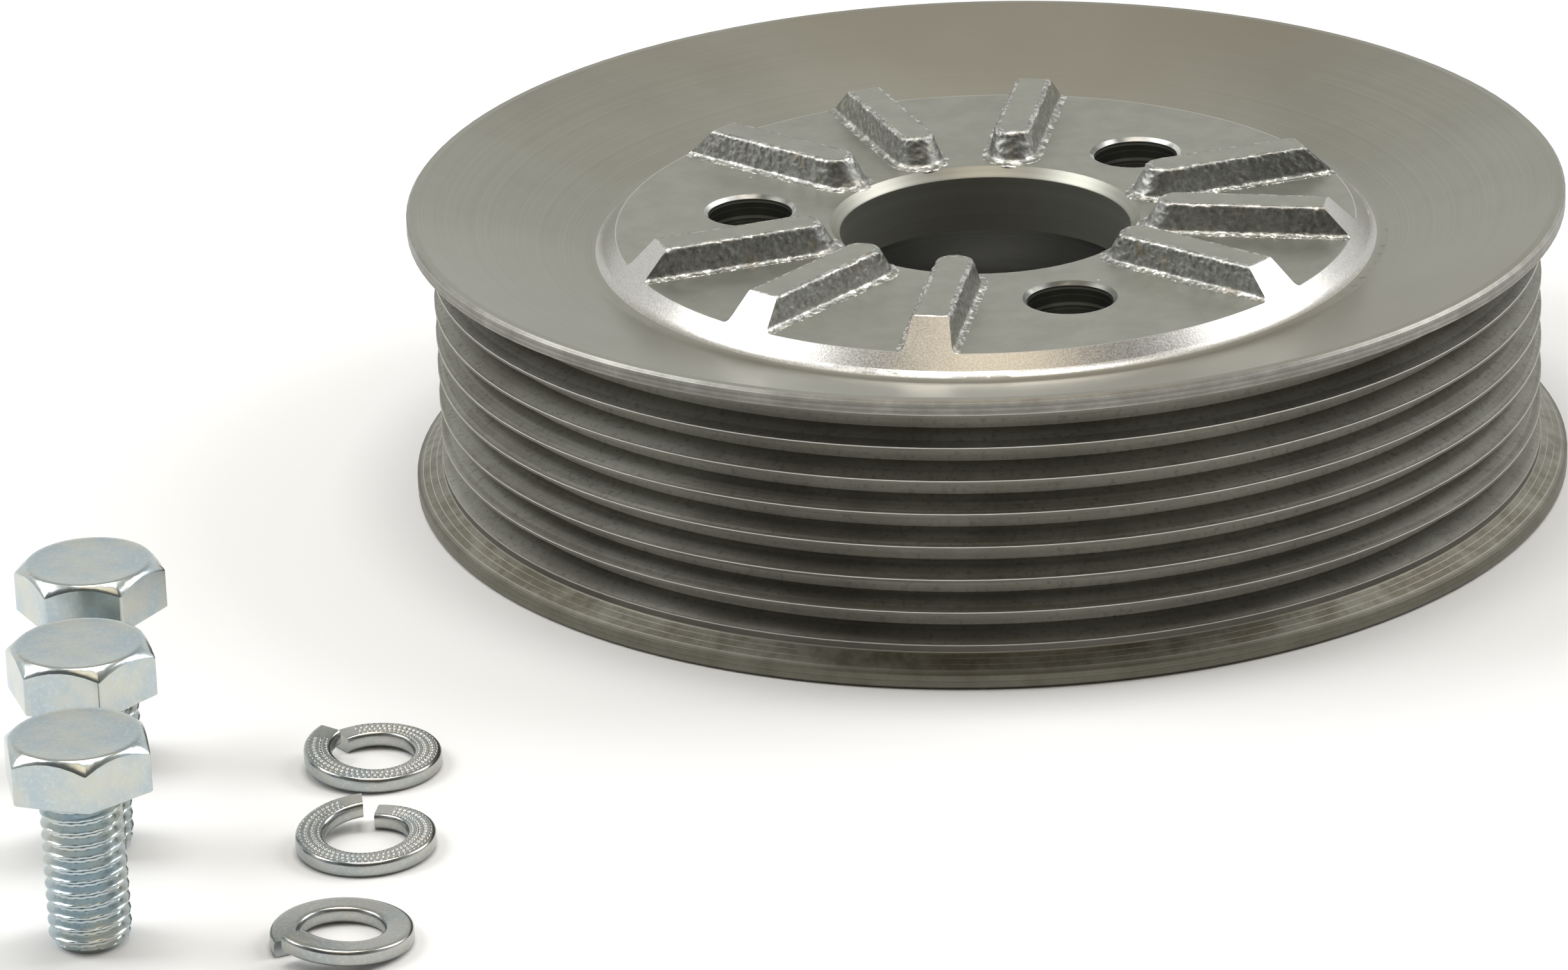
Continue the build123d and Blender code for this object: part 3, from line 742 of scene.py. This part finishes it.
def washer_rest(angle):
    """Height of the resting washer's underside at an angle from its low end."""
    lean = math.sin(angle) / (2 * math.pi) + (math.cos(angle) - 1) / 4
    return WASHER_RISE * (angle / (2 * math.pi) + lean)


def washer_section(per_side, rounding=0.38 * MM):
    """Outline of the washer's section as (radius, height, on a flat face) points."""
    middle = (WASHER_IN + WASHER_OUT) / 2
    half_w, half_t = (WASHER_OUT - WASHER_IN) / 2, WASHER_T / 2
    points = []
    corners = ((1, 1, 0), (-1, 1, 90), (-1, -1, 180), (1, -1, 270))
    for n, (sx, sz, start) in enumerate(corners):
        for k in range(4):
            turn = math.radians(start + 90 * k / 3)
            x = sx * (half_w - rounding) + rounding * math.cos(turn)
            z = sz * (half_t - rounding) + rounding * math.sin(turn)
            points.append((middle + x, z, 0.0))
        if n in (0, 2):
            x0 = sx * (half_w - rounding)
            for k in range(1, per_side):
                x = x0 * (1 - 2 * k / per_side)
                points.append((middle + x, sz * half_t, 1.0 if sz > 0 else 0.0))
    return points


def dimple(radius, angle):
    """Depth of the small pressed dots on the washer's top face."""
    v = (radius - WASHER_IN) / (WASHER_OUT - WASHER_IN) * DOT_ROWS
    row = math.floor(v)
    u = angle / DOT_STEP + 0.5 * (row % 2)
    du, dv = (u % 1.0) - 0.5, (v % 1.0) - 0.5
    return DOT_DEPTH * max(0.0, 1.0 - (du * du + dv * dv) / DOT_SIZE)


def make_washer(number, gap_azimuth, material):
    """One split spring washer, wound left-handed; all but the first have pressed dots on top."""
    node = f"spring_washer_{number}"
    per_side, columns = PLAIN_WASHER_GRID if number == 1 else DOTTED_WASHER_GRID
    section = washer_section(per_side)
    verts = []
    for n in range(columns + 1):
        angle = WASHER_HALF_GAP + (2 * math.pi - 2 * WASHER_HALF_GAP) * n / columns
        az = math.radians(gap_azimuth) - angle
        base = washer_rest(angle) + WASHER_T / 2
        dotted = number != 1 and DOTTED_FROM < angle < DOTTED_TO
        for r, z, top in section:
            dip = dimple(r, angle) * top if dotted else 0.0
            verts.append(Vector((r * math.cos(az), r * math.sin(az), base + z - dip)))
    faces = strip_faces(columns + 1, len(section), True)
    last = columns * len(section)
    faces.append(tuple(reversed(range(len(section)))))
    faces.append(tuple(range(last, last + len(section))))
    low = min(v.z for v in verts)
    verts = [v - Vector((0, 0, low)) for v in verts]
    washer = new_piece(f"{node}_detail", verts, faces, material, 40.0)
    washer.location = middle_of(node)
    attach(washer, "field")
    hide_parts(node)


def rib_half(z):
    """Half the width of a rib at height z."""
    share = (z - RIB_ROOT_Z) / (RIB_TOP_Z - RIB_ROOT_Z)
    return RIB_BASE_HALF + (RIB_TOP_HALF - RIB_BASE_HALF) * share


def rib_centre(z):
    """Radius of the middle of a rib's rounded nose at height z."""
    share = (z - RIB_ROOT_Z) / (RIB_TOP_Z - RIB_ROOT_Z)
    return RIB_INNER_R + (RIB_NOSE_R - RIB_INNER_R) * share + rib_half(z)


def rib_section():
    """A rib side's skin as (distance out, height, roughness, bead), round its outline."""
    sunk_z = PLATE_Z - RIB_SINK
    points = [(-0.4 * MM, sunk_z, 0.0, 0.0), (RIB_FOOT, sunk_z, 0.0, 0.0)]
    for k in range(9):
        t = k / 8
        out = RIB_FOOT * 0.78 * (1 - t) ** 2
        bead = math.sin(math.pi * min(1, t + 0.25))
        points.append((out, PLATE_Z + RIB_FOOT * 0.6 * t ** 2, 0.4 + 0.6 * t, bead))
    z0, z1 = PLATE_Z + RIB_FOOT * 0.6, RIB_TOP_Z - RIB_ROUND
    for k in range(1, 21):
        points.append((0.0, z0 + (z1 - z0) * k / 20, 1.0, max(0.0, k / 16 - 0.8)))
    for k in range(1, 6):
        turn = math.radians(90 * k / 5)
        out, z = -RIB_ROUND * (1 - math.cos(turn)), z1 + RIB_ROUND * math.sin(turn)
        points.append((out, z, 0.9 - 0.6 * k / 5, 0.45 - 0.08 * k))
    points.append((-RIB_ROUND - 0.2 * MM, RIB_TOP_Z - 0.02 * MM, 0.2, 0.0))
    points.append((-RIB_ROUND - 0.3 * MM, RIB_TOP_Z - RIB_SINK, 0.0, 0.0))
    return points


def cast_push(point, roughness, bead):
    """How far the rough casting stands out of the smooth rib at a point."""
    lump = noise.fractal(point * 520.0, 0.9, 2.1, 3)
    grit = noise.fractal(point * 1500.0, 0.8, 2.2, 3)
    crumb = max(0.0, noise.noise(point * 2100.0) + 0.1)
    push = max(-0.03, 0.07 * lump + 0.07 * grit)
    return (0.04 + roughness * (push + 0.03) + bead * 0.30 * crumb) * MM


def rib_stations():
    """Where the skin's sections stand: (azimuth of the outward direction, share of the side)."""
    sides, nose = RIB_SIDE_STATIONS, RIB_NOSE_STATIONS
    stations = [(90.0, k / sides) for k in range(sides, 0, -1)]
    stations += [(90.0 + 180.0 * k / nose, 0.0) for k in range(nose + 1)]
    return stations + [(270.0, k / sides) for k in range(1, sides + 1)]


def rib_skin(azimuth, section):
    """Points of one rib's rough cast skin, as a grid of stations x section points."""
    turn = Euler((0, 0, math.radians(azimuth)))
    seed = Vector((0, azimuth * MM, 0))
    verts = []
    for facing, along in rib_stations():
        out = Vector((math.cos(math.radians(facing)), math.sin(math.radians(facing)), 0))
        lean = 0.25 - 0.35 * out.x
        slope = Vector((out.x, out.y, lean)).normalized()
        fade = min(1.0, (1.0 - along) * 40.0)
        for distance, z, roughness, bead in section:
            offset = rib_half(z) + distance
            inner = rib_centre(z)
            reach = math.sqrt((CONE_SUM - 0.03 * MM - z) ** 2 - offset * offset)
            point = Vector((inner + along * (reach - inner), 0, z)) + out * offset
            if roughness > 0.0 or bead > 0.0:
                point += slope * cast_push(point + seed, roughness * fade, bead * fade)
            point.rotate(turn)
            verts.append(point)
    return verts


def make_rib_castings(material):
    """The rough cast skins of all ribs, as one piece on the pulley."""
    section = rib_section()
    columns, rows = len(section), len(rib_stations())
    verts, faces = [], []
    for place in range(PLACES):
        if place in HOLES:
            continue
        start = len(verts)
        verts += rib_skin(FIRST_HOLE_AZ + PLACE_STEP * place + RIB_LEAD, section)
        last = start + (rows - 1) * columns
        faces += [tuple(start + i for i in reversed(f)) for f in strip_faces(rows, columns, True)]
        faces.append(tuple(range(start, start + columns)))
        faces.append(tuple(reversed(range(last, last + columns))))
    skin = new_piece("rib_cast_skin", verts, faces, material, 60.0)
    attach(skin, "pulley")


def make_leaf_spring(number, material):
    """One leaf spring, cut out of the CAD leaf springs between its hub rivet and its armature
    rivet and sliced across.
    """
    start = 2 * math.pi * (number - 1) / LEAF_COUNT
    end = start + math.radians(LEAF_SPAN)
    hub_end = Vector((math.cos(start), math.sin(start), 0.0)) * LEAF_HUB_R
    plate_end = Vector((math.cos(end), math.sin(end), 0.0)) * LEAF_PLATE_R
    along = plate_end - hub_end
    way = along.normalized()
    across = Vector((-way.y, way.x, 0.0))
    shape = bmesh.new()
    shape.from_mesh(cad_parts["leaf_springs"].data)
    others = []
    for vert in shape.verts:
        offset = vert.co - (hub_end + plate_end) / 2
        reach = abs(offset.dot(way)) - along.length / 2
        if reach > LEAF_WIDTH or abs(offset.dot(across)) > LEAF_WIDTH:
            others.append(vert)
    bmesh.ops.delete(shape, geom=others, context="VERTS")
    for n in range(1, LEAF_CUTS):
        everything = shape.verts[:] + shape.edges[:] + shape.faces[:]
        place = hub_end + along * (n / LEAF_CUTS)
        bmesh.ops.bisect_plane(shape, geom=everything, plane_co=place, plane_no=way)
    points = [vert.co.copy() for vert in shape.verts]
    shape.verts.index_update()
    faces = [tuple(vert.index for vert in face.verts) for face in shape.faces]
    shape.free()
    leaf = new_piece(f"leaf_spring_{number}", points, faces, material)
    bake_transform(leaf)
    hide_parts("leaf_springs")


def finish_nodes():
    """Gives every CAD node its material; returns those that the made pieces share."""
    clip = coated_metal("phosphated_clip", (0.06, 0.06, 0.06), 0.4, (0.25, 0.25, 0.25))
    rivet = ground_metal("rivet_steel", (0.60, 0.60, 0.59), 0.32)
    spring = ground_metal("spring_steel", (0.30, 0.33, 0.40), 0.3)
    race = turned_metal("bearing_steel", (0.66, 0.66, 0.66), 0.2, 0.002 * MM, 0.06)
    looks = {
        "belt_pulley": pulley_metal("pulley_metal"),
        "driving_hub": turned_metal("hub_steel", (0.42, 0.42, 0.40), 0.36),
        "hub_rivets": rivet,
        "armature_rivets": rivet,
        "leaf_springs": spring,
        "armature_plate": ground_metal("armature_steel", (0.44, 0.44, 0.43), 0.35),
        "rotor": coated_metal("rotor_black", (0.035, 0.035, 0.037), 0.42, (0.22, 0.22, 0.22)),
        "rotor_hub": turned_metal("sleeve_steel", (0.50, 0.50, 0.49), 0.3),
        "friction_ring": moulded("friction_lining", (0.12, 0.09, 0.07), 0.8, 0.05 * MM),
        "bearing_inner_ring": race,
        "bearing_outer_ring": race,
        "bearing_balls": turned_metal("ball_steel", (0.8, 0.8, 0.8), 0.12, 0.0005 * MM, 0.03),
        "bearing_cage": ground_metal("cage_steel", (0.55, 0.50, 0.40), 0.35),
        "bearing_seals": moulded("seal_rubber", (0.02, 0.02, 0.02), 0.55),
        "housing_clip": clip,
        "sleeve_clip": clip,
        "mounting_plate": coated_metal("plate_zinc", (0.46, 0.42, 0.26), 0.34, (0.7, 0.68, 0.6)),
        "coil_housing": coated_metal("shell_black", (0.04, 0.04, 0.042), 0.45, (0.25, 0.25, 0.25)),
        "coil_bobbin": moulded("bobbin_plastic", (0.62, 0.56, 0.44), 0.45),
        "coil_winding": wound_copper("winding_wire", (0.58, 0.22, 0.08)),
        "potting_ring": moulded("potting_resin", (0.06, 0.03, 0.02), 0.25),
        "terminal_block": moulded("socket_plastic", (0.03, 0.03, 0.03), 0.5),
        "terminal_blades": ground_metal("tinned_brass", (0.72, 0.68, 0.56), 0.28),
    }
    screw_zinc = bright_zinc(
        "screw_zinc", (0.44, 0.52, 0.56), (0.58, 0.59, 0.53), (0.56, 0.63, 0.66)
    )
    washer_zinc = bright_zinc(
        "washer_zinc", (0.37, 0.40, 0.40), (0.46, 0.45, 0.41), (0.50, 0.52, 0.52)
    )
    for name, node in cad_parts.items():
        spare = washer_zinc if name.startswith("spring_washer") else screw_zinc
        for holder in node.material_slots:
            holder.material = looks.get(name, spare)
    return screw_zinc, washer_zinc, spring


def area_light(name, place, aim, size, power, colour):
    """A soft rectangular lamp aimed at a point."""
    data = bpy.data.lights.new(name, "AREA")
    data.shape = "RECTANGLE"
    data.size, data.size_y = size
    data.energy = power
    data.color = colour
    lamp = bpy.data.objects.new(name, data)
    bpy.context.scene.collection.objects.link(lamp)
    lamp.location = place
    lamp.rotation_euler = (Vector(aim) - Vector(place)).to_track_quat("-Z", "Y").to_euler()


def make_surround():
    """A room that is pale behind the part, brownish above that and dark in front."""
    world = bpy.data.worlds.new("surround")
    world.use_nodes = True
    bpy.context.scene.world = world
    tree = world.node_tree
    g = Nodes(tree, tree.nodes.new("ShaderNodeTexCoord").outputs["Generated"])
    axes = g.add("ShaderNodeSeparateXYZ", Vector=g.coords)
    behind = g.step(axes.outputs["Y"], -0.45, 0.75)
    above = g.math("MULTIPLY", behind, g.band(axes.outputs["Z"], 0.62, 0.93, 0.25))
    beside = g.step(g.math("ABSOLUTE", axes.outputs["X"]), 0.55, 0.95)
    colour = g.mix(behind, ROOM_FRONT, ROOM_BEHIND)
    colour = g.mix(g.math("MULTIPLY", above, 0.85), colour, ROOM_ABOVE)
    colour = g.mix(g.math("MULTIPLY", beside, 0.6), colour, ROOM_BESIDE)
    g.put(tree.nodes["Background"].inputs["Color"], colour)
    tree.nodes["Background"].inputs["Strength"].default_value = 1.0


def make_stage():
    """Pale floor, soft lights and the room round them."""
    bpy.context.scene.view_settings.view_transform = "Standard"
    bpy.ops.mesh.primitive_plane_add(size=FLOOR_SIZE, location=(0, 0, 0))
    floor = bpy.context.object
    floor.name = "floor"
    g = Graph("floor_paper")
    paper = g.mix(g.noise(3.0), (0.91, 0.91, 0.91), (0.93, 0.93, 0.93))
    g.set(Base_Color=paper, Roughness=0.9)
    floor.data.materials.append(g.material)
    make_surround()
    for name, place, size, power, colour in LAMPS:
        area_light(name, place, LAMP_AIM, size, power, colour)


def make_camera():
    """The camera at the reference view's angle and distance."""
    data = bpy.data.cameras.new("camera")
    data.lens = CAMERA_LENS
    data.sensor_width = CAMERA_SENSOR
    data.clip_start = CAMERA_CLIP
    camera = bpy.data.objects.new("camera", data)
    bpy.context.scene.collection.objects.link(camera)
    tilt = math.radians(CAMERA_ELEVATION)
    turn = Euler((math.pi / 2 - tilt, 0, 0)).to_matrix()
    roll = Euler((0, 0, math.radians(CAMERA_ROLL))).to_matrix()
    camera.rotation_euler = (turn @ roll).to_euler()
    forward = Vector((0, math.cos(tilt), -math.sin(tilt)))
    camera.location = CAMERA_AIM - forward * CAMERA_DISTANCE
    bpy.context.scene.camera = camera


screw_finish, washer_finish, spring_finish = finish_nodes()
make_rib_castings(cast_skin_metal("cast_skin"))
for count, corner in enumerate(SCREW_CORNERS, 1):
    make_screw(count, corner, screw_finish)
for count, gap in enumerate(WASHER_GAPS, 1):
    make_washer(count, gap, washer_finish)
for count in range(1, LEAF_COUNT + 1):
    make_leaf_spring(count, spring_finish)
make_stage()
make_camera()
